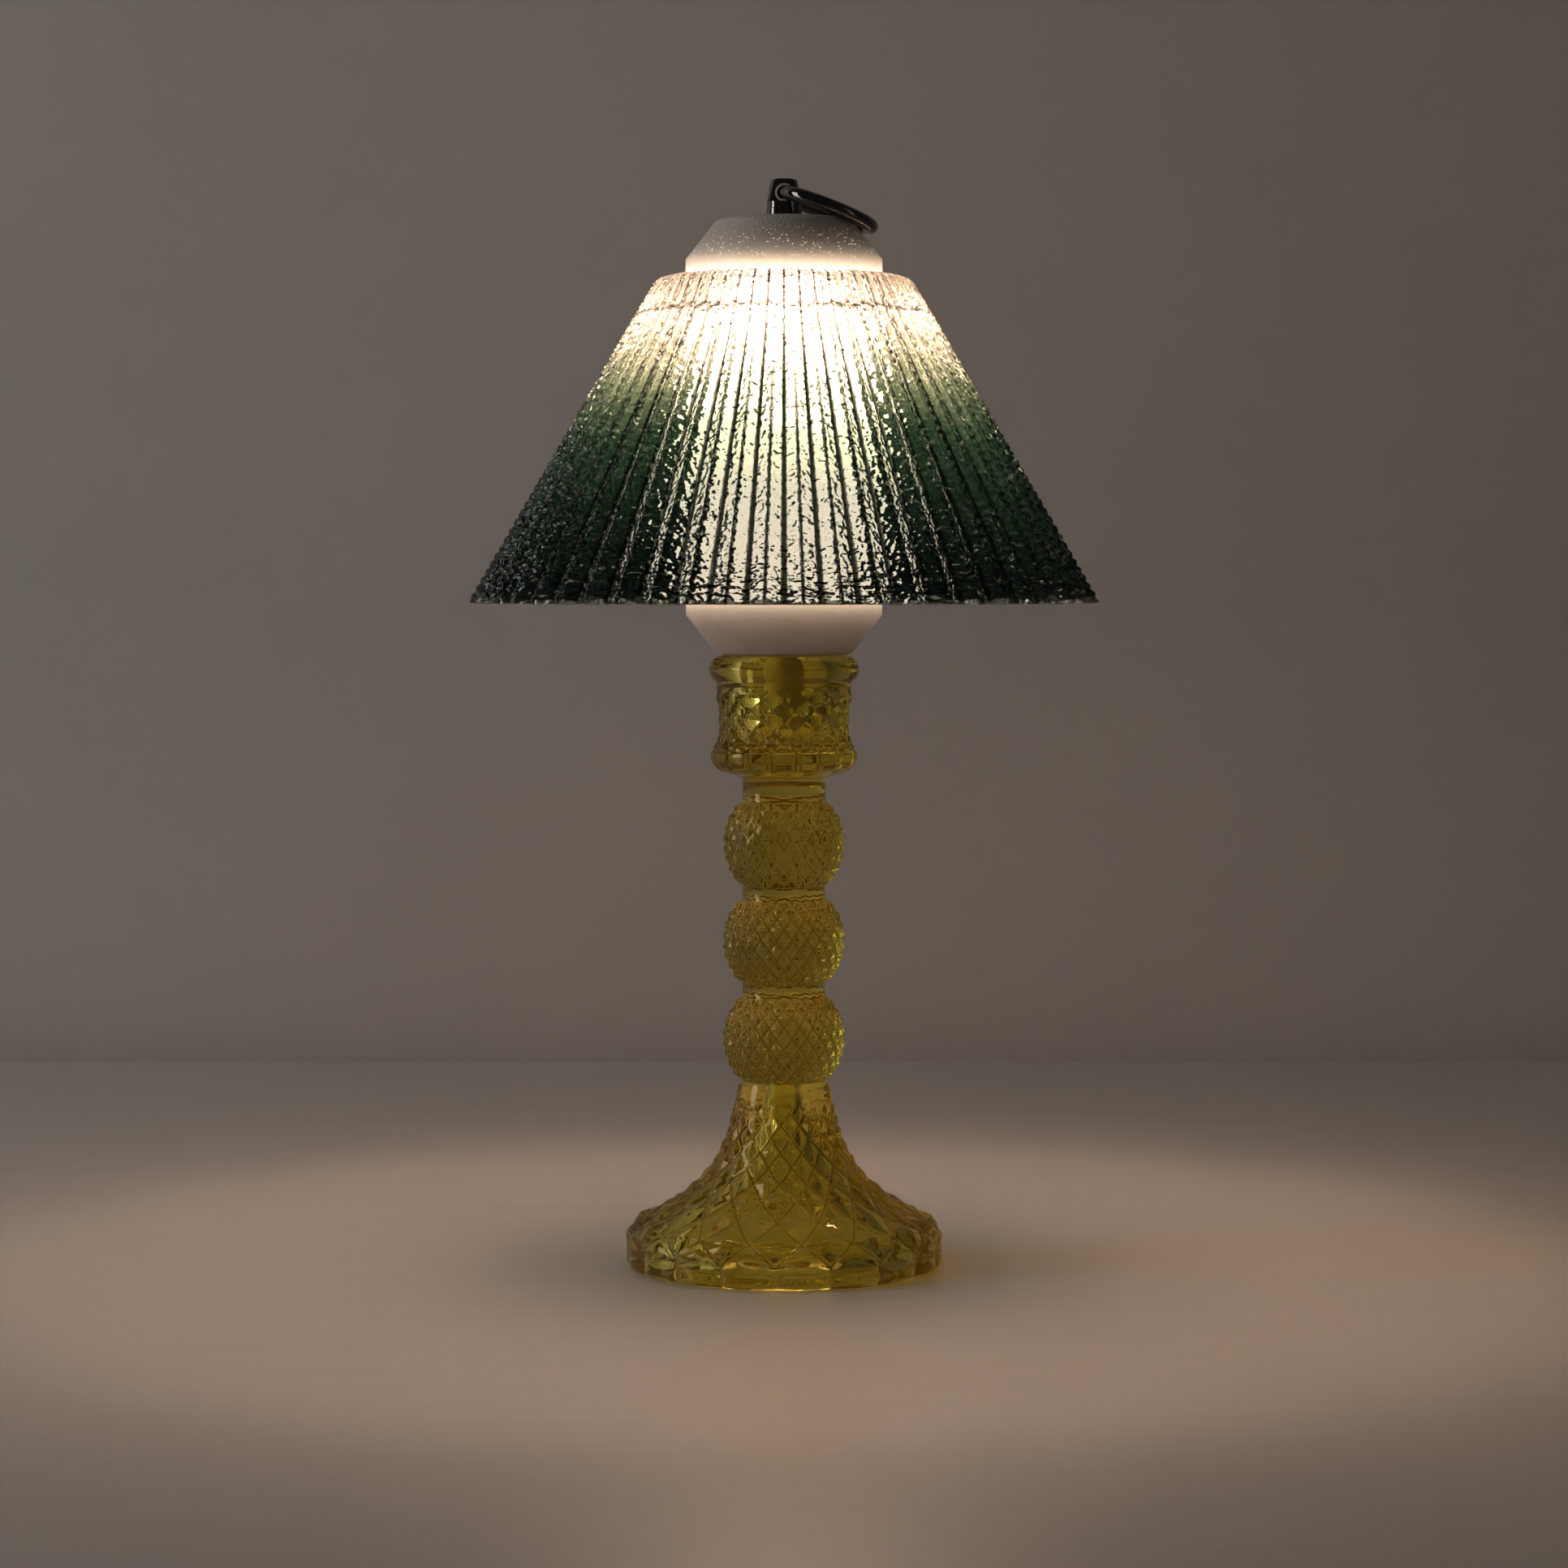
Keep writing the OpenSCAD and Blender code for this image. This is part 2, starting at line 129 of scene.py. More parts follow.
class Finish:
    """A material under construction: one Principled shader, and short calls for the nodes round it."""

    def __init__(self, name, **values):
        self.material = bpy.data.materials.new(name)
        self.material.use_nodes = True
        self.tree = self.material.node_tree
        self.out = self.tree.nodes["Material Output"]
        self.shader = self.tree.nodes["Principled BSDF"]
        for key, value in values.items():
            self.set(key.replace("_", " "), value)

    def set(self, socket, value):
        if isinstance(value, (tuple, list)) and len(value) == 3:
            value = (*value, 1)
        self.shader.inputs[socket].default_value = value

    def node(self, kind, links=None, **settings):
        n = self.tree.nodes.new(kind)
        for key, value in settings.items():
            setattr(n, key, value)
        for socket, value in (links or {}).items():
            if isinstance(value, bpy.types.NodeSocket):
                self.tree.links.new(value, n.inputs[socket])
            else:
                n.inputs[socket].default_value = value
        return n

    def link(self, source, socket):
        self.tree.links.new(source, self.shader.inputs[socket])

    def position(self):
        return self.node("ShaderNodeTexCoord").outputs["Object"]

    def stretch(self, vector, scale):
        return self.node("ShaderNodeMapping", {"Vector": vector, "Scale": scale}).outputs["Vector"]

    def noise(self, scale, detail=3.0, vector=None):
        links = {"Scale": scale, "Detail": detail, "Vector": vector or self.position()}
        return self.node("ShaderNodeTexNoise", links).outputs["Fac"]

    def cells(self, scale, vector=None, smooth=None):
        links = {"Scale": scale, "Vector": vector or self.position()}
        if smooth is None:
            return self.node("ShaderNodeTexVoronoi", links, feature="F1")
        links["Smoothness"] = smooth
        return self.node("ShaderNodeTexVoronoi", links, feature="SMOOTH_F1")

    def ramp(self, factor, *stops):
        """Colour or grey stops as (place, colour) pairs, placed in order."""
        n = self.node("ShaderNodeValToRGB", {"Fac": factor})
        ramp = n.color_ramp
        while len(ramp.elements) < len(stops):
            ramp.elements.new(0.5)
        for element, (place, colour) in zip(ramp.elements, stops):
            element.position = place
            if isinstance(colour, (int, float)):
                colour = (colour, colour, colour)
            element.color = (*colour, 1)
        return n.outputs["Color"]

    def span(self, value, low, high, to_low=0.0, to_high=1.0):
        links = {"Value": value, "From Min": low, "From Max": high, "To Min": to_low, "To Max": to_high}
        return self.node("ShaderNodeMapRange", links).outputs["Result"]

    def math(self, operation, a, b=None):
        n = self.node("ShaderNodeMath", {0: a}, operation=operation)
        if b is not None:
            if isinstance(b, bpy.types.NodeSocket):
                self.tree.links.new(b, n.inputs[1])
            else:
                n.inputs[1].default_value = b
        return n.outputs[0]

    def mix(self, factor, a, b):
        n = self.node("ShaderNodeMix", data_type="RGBA")
        for key, value in ((0, factor), (6, a), (7, b)):
            if isinstance(value, bpy.types.NodeSocket):
                self.tree.links.new(value, n.inputs[key])
            elif key == 0:
                n.inputs[0].default_value = value
            else:
                n.inputs[key].default_value = (*value, 1)
        return n.outputs[2]

    def height(self):
        return self.node("ShaderNodeSeparateXYZ", {"Vector": self.position()}).outputs["Z"]

    def let_lamps_through(self, surface, colour):
        """Rays from lamps cross the sheet straight, tinted, so that what is behind it is lit without grain."""
        clear = self.node("ShaderNodeBsdfTransparent", {"Color": colour})
        is_shadow = self.node("ShaderNodeLightPath").outputs["Is Shadow Ray"]
        mixed = self.node("ShaderNodeMixShader", {0: is_shadow, 1: surface, 2: clear.outputs[0]})
        self.tree.links.new(mixed.outputs[0], self.out.inputs["Surface"])

    def bump(self, height, distance, strength=1.0, normal=None):
        links = {"Height": height, "Distance": distance, "Strength": strength}
        if normal is not None:
            links["Normal"] = normal
        result = self.node("ShaderNodeBump", links).outputs["Normal"]
        self.link(result, "Normal")
        return result


def wear(name, colour, dark, roughness, bump=0.00002):
    """A plain moulded or painted surface: slight colour drift, uneven gloss and a fine grain."""
    f = Finish(name)
    drift = f.noise(90.0, 4.0)
    f.link(f.ramp(drift, (0.3, dark), (0.7, colour)), "Base Color")
    f.link(f.span(f.noise(260.0, 3.0), 0.3, 0.7, roughness * 0.85, roughness * 1.2), "Roughness")
    f.bump(f.noise(900.0, 2.0), bump)
    return f.material


def metal(name, colour, dark, roughness, brush=(1, 1, 1)):
    """Bare or plated metal with drawn or turned marks along the brush direction."""
    f = Finish(name, Metallic=1.0)
    place = f.stretch(f.position(), brush)
    marks = f.noise(1400.0, 4.0, place)
    f.link(f.ramp(f.noise(140.0, 3.0), (0.3, dark), (0.7, colour)), "Base Color")
    f.link(f.span(marks, 0.3, 0.7, roughness * 0.7, roughness * 1.4), "Roughness")
    f.bump(marks, 0.000008)
    return f.material


def dress(material, *names):
    for name in names:
        mesh = nodes[name].data
        mesh.materials.clear()
        mesh.materials.append(material)


# ------------------------------------------------------------------ candlestick

# Lengths of the glass, the shade and the collar are in millimetres, and skin() turns them into metres.
FOOT_R, FOOT_H, NECK_R, BALL_R, BALL_PITCH = 30.5, 36.2, 8.1, 11.6, 19.0
BALL_CUT = math.sqrt(BALL_R ** 2 - NECK_R ** 2)
BALL_Z = [FOOT_H + BALL_CUT + i * BALL_PITCH for i in range(3)]
CUP_Z = BALL_Z[2] + BALL_CUT + 4.4
STAND_TOP = CUP_Z + 23.8
SOCKET_R, SOCKET_DEPTH = 8.7, 16.5
HOLLOW_TOP = 38.5
CUP_LOBES = FOOT_LOBES = 18
BALL_LOBES = 24


def diamonds(count, row, samples, turn=0):
    """For one ring of a diamond lattice: the distance of each point from the nearest lattice line, 0 on it to 1 in
    the middle of a cell, and which way the triangles above the ring lean. row counts samples up from a node row."""
    u = np.arange(count) + round(turn)
    period = 2 * samples

    def to_line(x):
        return np.minimum(x % period, -x % period)

    distance = np.minimum(to_line(u + row), to_line(u - row)) / samples
    lean = to_line(u + row + 1) < to_line(u - row)
    return distance, lean


FOOT_TURN = 2 / 3   # how far the foot's lattice is turned, as a share of one cell


def flare(z):
    return 8.2 + 19.1 * math.exp(-(z - 9.5) / 8.5)


def foot_line():
    """The foot's smooth outline, from its straight band over the knee and up the flare, as (z, r) points."""
    knee = [(6 + 2.4 * math.sin(a), FOOT_R - 2.4 + 2.4 * math.cos(a)) for a in np.radians(range(0, 61, 10))]
    sweep = [(z, flare(z)) for z in np.linspace(9.0, 33, 60)]
    return np.array([(0.6, FOOT_R), *knee, *sweep, (35.3, 9.0), (36.2, 8.1)])


FOOT_LINE = foot_line()


def foot_outline(z):
    return float(np.interp(z, FOOT_LINE[:, 0], FOOT_LINE[:, 1]))


def hollow(z):
    return 1.9 + 25.2 * math.exp(-(z / 15) ** 1.7)


def outward(profile, z):
    """The unit normal of a profile r(z), as (r, z) parts."""
    step = 0.4
    slope = (profile(z + step) - profile(z - step)) / (2 * step)
    length = math.hypot(1, slope)
    return 1 / length, -slope / length


def foot_rings():
    """The flared foot: a plain scalloped band, then a lattice of raised pyramids edged by thin ridges."""
    rings = []
    count, samples = 432, 12
    u = np.arange(count) / count * FOOT_LOBES + FOOT_TURN
    arch = np.abs(np.sin(math.pi * u))
    band_top = 4.6
    for z, r in ((0.0, 29.5), (0.12, 29.95), (0.5, 30.35)):
        rings.append(Ring(count, r + 0.75 * arch ** 0.6 - 0.55, z))
    for k in range(1, 9):
        z = 0.5 + (band_top - 0.5) * k / 9
        rings.append(Ring(count, FOOT_R + 0.9 * arch ** 0.6 - 0.6, z + 0.9 * arch * (z / band_top) ** 2))
    half_rows, coarse_from = 10, 4
    for half in range(half_rows):
        fine = half < coarse_from
        n, m = (count, samples) if fine else (count // 2, samples // 2)
        turn = FOOT_TURN * 2 * m
        local_arch = np.abs(np.sin(math.pi * (np.arange(n) / n * FOOT_LOBES + FOOT_TURN)))
        for j in range(m):
            k = half + j / m
            z = 5.3 + 3.45 * k - 0.066 * k * k - 0.7 * (1 - smoothstep(0, 0.8, k))
            distance, lean = diamonds(n, half * m + j, m, turn)
            nr, nz = outward(foot_outline, z)
            size = 1.25 - 0.075 * k
            shown = 0.25 + 0.75 * smoothstep(0, 0.7, k)
            fade = 1 - smoothstep(8.6, 10, k)
            on_line = np.clip(1 - distance * m, 0, 1)
            h = fade * (size * shown * (0.95 * distance - 0.38) + (0.16 + 0.008 * m) * on_line)
            h = h + 0.3 * local_arch * (1 - smoothstep(0, 0.9, k))
            z_here = z + nz * h + 0.9 * local_arch * (1 - smoothstep(0, 0.5, k))
            rings.append(Ring(n, foot_outline(z) + nr * h, z_here, lean, on_line * fade))
    for z in (33.6, 34.4, 35.2):
        rings.append(Ring(144, foot_outline(z), z))
    return rings


def ball_rings(centre, strength, plain_front):
    """One ball of the stem, with small diamond cells that fade out at its necks."""
    rings = []
    samples, half_rows = 5, 9
    count = BALL_LOBES * 2 * samples
    reach = math.asin(BALL_CUT / BALL_R)
    angle = TAU * np.arange(count) / count
    front = np.clip(-np.sin(angle), 0, 1) ** 2
    for row in range(samples * half_rows + 1):
        t = row / (samples * half_rows)
        a = -reach + 2 * reach * t
        distance, lean = diamonds(count, row, samples)
        fade = smoothstep(0, 0.08, t) * (1 - smoothstep(0.92, 1, t)) * (1 - plain_front * front)
        on_line = np.clip(1 - distance * samples, 0, 1)
        radius = BALL_R + strength * fade * (0.85 * distance - 0.42 + 0.10 * on_line)
        rings.append(Ring(count, radius * math.cos(a), centre + radius * math.sin(a), lean, on_line * fade))
    return rings


def cup_outline(z):
    z = z - CUP_Z
    bulge = NECK_R + 3 + math.sqrt(max(0, 9 - (z - 4.3) ** 2)) if 1.3 < z < 7.1 else 0
    waist = NECK_R + 4.2 + 0.02 * abs(z - 11) ** 2.0 if z > 5.5 else 0
    return max(bulge, waist)


def domes(count, row, samples):
    """The same lattice with a round dome in each cell: its height, 1 in the middle of a cell and 0 round the nodes."""
    period = 2 * samples
    u = np.arange(count)
    nearest = None
    for half in (0, 1):
        du = (u - half * samples + samples) % period - samples
        dv = (row - (1 - half) * samples + samples) % period - samples
        square = (du / samples) ** 2 + (dv / samples) ** 2
        nearest = square if nearest is None else np.minimum(nearest, square)
    return np.clip(1 - nearest / 0.66, 0, 1)


def cup_rings():
    """The candle cup: barrel staves round the bulge, rows of domes round the waist, then a plain rim."""
    rings = []
    samples = 7
    count = CUP_LOBES * 2 * samples
    u = np.arange(count) / count * CUP_LOBES
    from_groove = np.minimum(u % 1, 1 - u % 1)
    for z, r in ((0.0, 8.1), (0.25, 8.6), (0.55, 9.6), (0.95, 11.2), (1.35, 12.1)):
        rings.append(Ring(count, r, CUP_Z + z))
    bulge_low, bulge_high = CUP_Z + 1.7, CUP_Z + 5.2
    for k in range(15):
        z = bulge_low + (bulge_high - bulge_low) * k / 14
        depth = 0.8 * math.sin(math.pi * min(1.0, (k + 1) / 4) / 2)
        stave = 0.2 - depth * (1 - np.clip(from_groove / 0.13, 0, 1) ** 0.6)
        pit = 0.6 * np.exp(-((z - CUP_Z - 2.9) / 0.4) ** 2 - (from_groove / 0.09) ** 2)
        on_line = np.clip(1 - from_groove * 2 * samples, 0, 1)
        nr, nz = outward(cup_outline, z)
        h = stave - pit
        rings.append(Ring(count, cup_outline(z) + nr * h, z + nz * h, None, on_line))
    lattice_low, half_rows, half_height = CUP_Z + 5.3, 6, 2.02
    for row in range(samples * half_rows + 1):
        z = lattice_low + half_height * row / samples
        fade = smoothstep(0, 0.4, row / samples) * (1 - smoothstep(half_rows - 0.6, half_rows, row / samples))
        dome = domes(count, row, samples)
        h = fade * (np.sqrt(dome) - 0.55)
        nr, nz = outward(cup_outline, z)
        line = fade * np.clip(1 - dome / 0.25, 0, 1) * 0.6
        rings.append(Ring(count, cup_outline(z) + nr * h, z + nz * h, None, line))
    rim, tube = STAND_TOP - 2.75, 2.75
    for k in range(13):
        a = math.radians(-62 + 152 * k / 12)
        rings.append(Ring(144, NECK_R + 3.7 + tube * math.cos(a), rim + tube * math.sin(a)))
    return rings


def socket_rings():
    """From the rim down the candle socket to its floor."""
    floor = STAND_TOP - SOCKET_DEPTH
    steps = [(9.9, STAND_TOP), (9.4, STAND_TOP - 0.25), (8.9, STAND_TOP - 0.9), (SOCKET_R, STAND_TOP - 1.6)]
    steps += [(SOCKET_R - 0.02 * k, STAND_TOP - 1.6 - 13.0 * k / 6) for k in range(1, 7)]
    steps += [(SOCKET_R - 0.3, floor + 0.9), (SOCKET_R - 0.9, floor + 0.3), (SOCKET_R - 1.8, floor), (3.5, floor)]
    return [Ring(144, r, z) for r, z in steps]


def hollow_rings():
    """The foot's hollow, from its top inside the stem down to the contact ring."""
    steps = [(0.9, HOLLOW_TOP), (1.5, 38.1), (1.85, 37.4)]
    steps += [(hollow(z), z) for z in np.linspace(36.5, 0.6, 34)] + [(27.4, 0.15), (28.2, 0.0)]
    return [Ring(144, r, z) for r, z in steps]


def amber_glass():
    """Clear pressed glass, coloured through its whole depth, with faint waves left by the mould. The pressed lines are
    painted dark brown as painted shade, and painted warm reflections and a small scattered share warm the edges seen
    at a slant."""
    # Painted reflection: the warm Specular Tint tints every reflection on the glass, standing in for warm light at its
    # edges.
    f = Finish("amber_glass", Roughness=0.015, IOR=1.5, Transmission_Weight=1.0,
               Specular_Tint=(1.0, 0.80, 0.45))
    # Painted shade: the points on the pressed lines are coloured dark brown.
    line = f.node("ShaderNodeAttribute", attribute_name="line").outputs["Fac"]
    f.link(f.mix(f.span(line, 0.30, 0.85), (0.97, 0.91, 0.34), (0.36, 0.15, 0.02)), "Base Color")
    skin_marks = f.noise(900.0, 3.0)
    f.link(f.span(skin_marks, 0.35, 0.75, 0.004, 0.05), "Roughness")
    f.bump(f.noise(170.0, 2.0), 0.00025, 0.5)
    depth = f.node("ShaderNodeVolumeAbsorption", {"Color": (0.90, 0.79, 0.04, 1), "Density": 62.0})
    f.tree.links.new(depth.outputs["Volume"], f.out.inputs["Volume"])
    # Painted warm light: an orange scattered share, larger where the glass is seen at a slant, warms its edges.
    glow = f.node("ShaderNodeBsdfTranslucent", {"Color": (0.95, 0.50, 0.06, 1)})
    rim = f.node("ShaderNodeLayerWeight", {"Blend": 0.35}).outputs["Facing"]
    share = f.span(rim, 0.2, 1.0, 0.01, 0.13)
    both = f.node("ShaderNodeMixShader", {0: share, 1: f.shader.outputs[0], 2: glow.outputs[0]})
    f.let_lamps_through(both.outputs[0], (0.84, 0.74, 0.40, 1))
    return f.material


def make_candlestick():
    rings = hollow_rings() + foot_rings()
    for centre, strength, plain_front in zip(BALL_Z, (1.0, 1.0, 0.9), (0.0, 0.0, 0.75)):
        rings += ball_rings(centre, strength, plain_front)
    rings += cup_rings() + socket_rings()
    stick = skin("pressed_glass_candlestick", rings, start=HOLLOW_TOP, end=STAND_TOP - SOCKET_DEPTH)
    stick.data.materials.append(amber_glass())
    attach(stick, "candlestick")
    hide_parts("candlestick")


# ------------------------------------------------------------------------ shade

RIM_R, RIM_Z, SHOULDER_R = 60.3, 129.36, 25.2
SHADE_TOP = 192.15
SHOULDER_Z = SHADE_TOP - 2.4
SHEET_DEPTH = 0.9   # from the outer pleats to the inner ones, in millimetres
PAINTED_EDGE_Z = 0.1852   # height of the dark wavy line painted on the sheet as shade where the collar's beaded edge is seen through it, in metres
PLEATS = 54
# Places within one pleat, from its ridge over the valley at 0.50 to the next ridge.
PLEAT_STEPS = (0, 0.05, 0.14, 0.30, 0.44, 0.50, 0.56, 0.70, 0.86, 0.95)
INNER_STEPS = (0, 0.12, 0.42, 0.50, 0.58, 0.88)
OUTER_ROWS, INNER_ROWS = 158, 40
# Near-black colour of the painted shade along the folds and along the collar's edge seen through the sheet.
FOLD_SHADE_COLOUR = (0.0006, 0.0010, 0.0009)


def shade_outline(t):
    """A point of the shade's smooth outer line, from the collar (0) over the shoulder to the lower rim (1)."""
    shoulder = 0.08
    if t < shoulder:
        turn = math.radians(88 * t / shoulder)
        return 20.6 + 4.4 * math.sin(turn), SHADE_TOP - 2.2 * (1 - math.cos(turn))
    s = (t - shoulder) / (1 - shoulder)
    return SHOULDER_R + (RIM_R - SHOULDER_R) * s, SHOULDER_Z + (RIM_Z - SHOULDER_Z) * s


def pleat_wave(x):
    """A folded line with softly rounded folds: 1 on a ridge, -1 in a valley."""
    tri = 2 * np.abs(2 * (x % 1) - 1) - 1
    return 0.85 * tri + 0.15 * np.sin(0.5 * math.pi * tri)


def shade_surface(rows, steps, inset, rippled):
    """Rings down the pleated sheet, moved inwards by inset along the radius. steps are places within one pleat,
    closer together at the folds."""
    x = np.concatenate([np.array(steps) + i for i in range(PLEATS)])
    count = len(x)
    random = np.random.default_rng(7)
    shift = np.repeat(random.uniform(0, TAU, PLEATS), len(steps))
    wobble = random.uniform(-1, 1, (rows + 1, count))
    sway = random.uniform(-1, 1, (rows + 1, PLEATS))
    fold = pleat_wave(x)
    rings = []
    for row in range(rows + 1):
        t = row / rows
        r, z = shade_outline(t)
        depth = 0.35 + 0.45 * smoothstep(0.02, 0.2, t) + 0.45 * t
        h = depth * (fold - 0.5)
        turn = x
        if rippled:
            edge = smoothstep(0, 0.06, t) * (1 - smoothstep(0.985, 1, t))
            wave = np.sin(TAU * z / 1.6 + shift + 0.8 * math.sin(z * 0.37))
            h = h + edge * (0.38 * wave * np.clip(fold, 0, 1) ** 3 + 0.05 * wobble[row])
            turn = x + 0.035 * edge * np.repeat(sway[row], len(steps)) * np.abs(fold) ** 2
        rings.append(Ring(count, r - inset + h, z - inset * 0.3, turn=turn * len(steps)))
    return rings


def shade_finish():
    """Hammered sheet that is clear at the top and runs into deep green. Light passes through it and is also
    scattered; lamp light crosses it straight. Painted shade darkens lines along the folds, and a painted dark wavy
    line stands where the collar's beaded edge is seen through the sheet."""
    f = Finish("shade_green", Roughness=0.07, IOR=1.38, Transmission_Weight=1.0)
    at = f.node("ShaderNodeSeparateXYZ", {"Vector": f.position()})
    z = at.outputs["Z"]
    blotch = f.noise(60.0, 3.0)
    place = f.math("ADD", f.span(z, RIM_Z * MM, 0.1925), f.span(blotch, 0.3, 0.7, -0.04, 0.04))
    colour = f.ramp(place, (0.0, (0.0265, 0.035, 0.039)), (0.32, (0.0265, 0.037, 0.040)),
                    (0.50, (0.040, 0.055, 0.050)), (0.64, (0.115, 0.134, 0.118)), (0.77, (0.46, 0.48, 0.44)),
                    (0.90, (0.88, 0.88, 0.87)))
    turn = f.math("MULTIPLY", f.math("ARCTAN2", at.outputs["Y"], at.outputs["X"]), PLEATS / TAU)
    ragged = f.math("ADD", turn, f.span(f.noise(800.0, 2.0), 0.3, 0.7, -0.02, 0.02))
    # Painted shade: near-black lines along each valley and each crest of the folds, the crest lines fainter high up.
    from_ridge = f.math("PINGPONG", ragged, 0.5)
    valley = f.span(from_ridge, 0.385, 0.420)
    crest = f.span(from_ridge, 0.050, 0.028)
    folds = f.math("MAXIMUM", valley, f.math("MULTIPLY", crest, f.span(z, 0.188, 0.160, 0.5, 1.0)))
    # Painted shade: a dark wavy line, one wave to a pleat, where the collar's beaded edge is seen through the sheet.
    bead = f.math("MULTIPLY", f.math("COSINE", f.math("MULTIPLY", turn, TAU)), 0.00045)
    bead = f.math("ADD", bead, f.span(f.noise(420.0, 2.0), 0.3, 0.7, -0.0003, 0.0003))
    off_line = f.math("ABSOLUTE", f.math("SUBTRACT", f.math("ADD", z, bead), PAINTED_EDGE_Z))
    folds = f.math("MAXIMUM", folds, f.span(off_line, 0.00048, 0.00012, 0.0, 0.97))
    shown = f.span(z, 0.1915, 0.170, 0.97, 1.0)
    lined = f.mix(f.math("MULTIPLY", folds, shown), colour, FOLD_SHADE_COLOUR)
    f.link(lined, "Base Color")
    flat = f.stretch(f.position(), (1.0, 1.0, 1.4))
    dimple = f.cells(760.0, flat, smooth=0.6).outputs["Distance"]
    bands = f.noise(420.0, 1.0, f.stretch(f.position(), (0.7, 0.7, 1.9)))
    first = f.bump(dimple, 0.00046, 0.9)
    f.bump(bands, 0.00090, 0.9, first)
    deep = f.ramp(place, (0.0, (0.016, 0.085, 0.052)), (0.5, (0.05, 0.17, 0.10)), (0.66, (0.22, 0.34, 0.24)),
                  (0.9, (0.88, 0.88, 0.86)))
    # The same painted fold shade darkens the scattered share.
    sunk = f.mix(f.math("MULTIPLY", folds, shown), deep, FOLD_SHADE_COLOUR)
    scatter = f.node("ShaderNodeBsdfTranslucent", {"Color": sunk, "Normal": first})
    share = f.ramp(place, (0.0, 0.035), (0.5, 0.085), (0.9, 0.14))
    both = f.node("ShaderNodeMixShader", {0: share, 1: f.shader.outputs[0], 2: scatter.outputs[0]})
    f.let_lamps_through(both.outputs[0], f.mix(0.4, colour, (0, 0, 0)))
    return f.material


def make_shade():
    outer = shade_surface(OUTER_ROWS, PLEAT_STEPS, 0.0, True)
    inner = shade_surface(INNER_ROWS, INNER_STEPS, SHEET_DEPTH, False)
    shade = skin("pleated_shade", outer[::-1] + inner)
    shade.data.materials.append(shade_finish())
    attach(shade, "shade")
    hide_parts("shade_cone")


# ----------------------------------------------------------------------- collar

def collar_finish(edge_z):
    """Clear moulded plastic, darker and cloudy along its wavy lower edge."""
    f = Finish("clear_plastic", IOR=1.46, Transmission_Weight=1.0)
    z = f.height()
    dark_edge = f.span(f.math("ADD", z, f.span(f.noise(500.0, 2.0), 0.3, 0.7, -0.0001, 0.0001)),
                  (edge_z + 1.0) * MM, (edge_z + 0.6) * MM)
    f.link(f.mix(dark_edge, (0.96, 0.96, 0.93), (0.05, 0.055, 0.045)), "Base Color")
    f.link(f.span(f.noise(600.0, 2.0), 0.3, 0.7, 0.03, 0.10), "Roughness")
    f.bump(f.noise(700.0, 2.0), 0.00008)
    f.let_lamps_through(f.shader.outputs[0], (0.92, 0.92, 0.90, 1))
    return f.material


def make_collar():
    """The clear collar inside the shade's top, with a flange above and a beaded lower edge, one bead to a pleat."""
    low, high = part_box("shade_collar")
    bottom, top = low.z / MM, high.z / MM
    count = PLEATS * 8
    bead = 0.5 + 0.5 * np.cos(TAU * np.arange(count) / 8)
    random = np.random.default_rng(11)
    drop = np.repeat(random.uniform(-0.25, 0.25, PLEATS), 8)
    drop = (drop + np.roll(drop, 2) + np.roll(drop, 4) + np.roll(drop, 6)) / 4
    outline = [(16.3, -1.6, 0), (16.4, -1.65, 0), (18.7, -1.65, 0), (18.9, -1.85, 0), (18.9, -4.5, 0)]
    outline += [(18.9, bottom - top + 1.1, 0), (19.1, bottom - top + 0.4, 1), (19.7, bottom - top + 0.1, 1)]
    outline += [(20.5, bottom - top + 0.15, 1), (20.9, bottom - top + 0.5, 1), (20.6, bottom - top + 0.95, 1)]
    outline += [(20.4, bottom - top + 1.3, 0), (20.4, -4.0, 0), (20.4, -0.2, 0), (20.2, 0, 0), (16.5, 0, 0)]
    outline += [(16.3, -0.2, 0)]
    rings = []
    for r, z, share in outline[::-1]:
        rings.append(Ring(count, r + 0.35 * share * bead, top + z + share * (0.35 * bead - 0.1 + drop)))
    collar = skin("beaded_collar", rings)
    collar.data.materials.append(collar_finish(bottom))
    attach(collar, "shade")
    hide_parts("shade_collar")


# ------------------------------------------------------------- CAD nodes' looks

LAMP_LEVEL = 215.0
CAP_EDGE = 0.19246   # the top cap's visible lower edge, in metres
TOP_FADE, LOW_FADE = 0.00155, 0.0018   # how far the painted glow reaches into the top and the lower cap, in metres
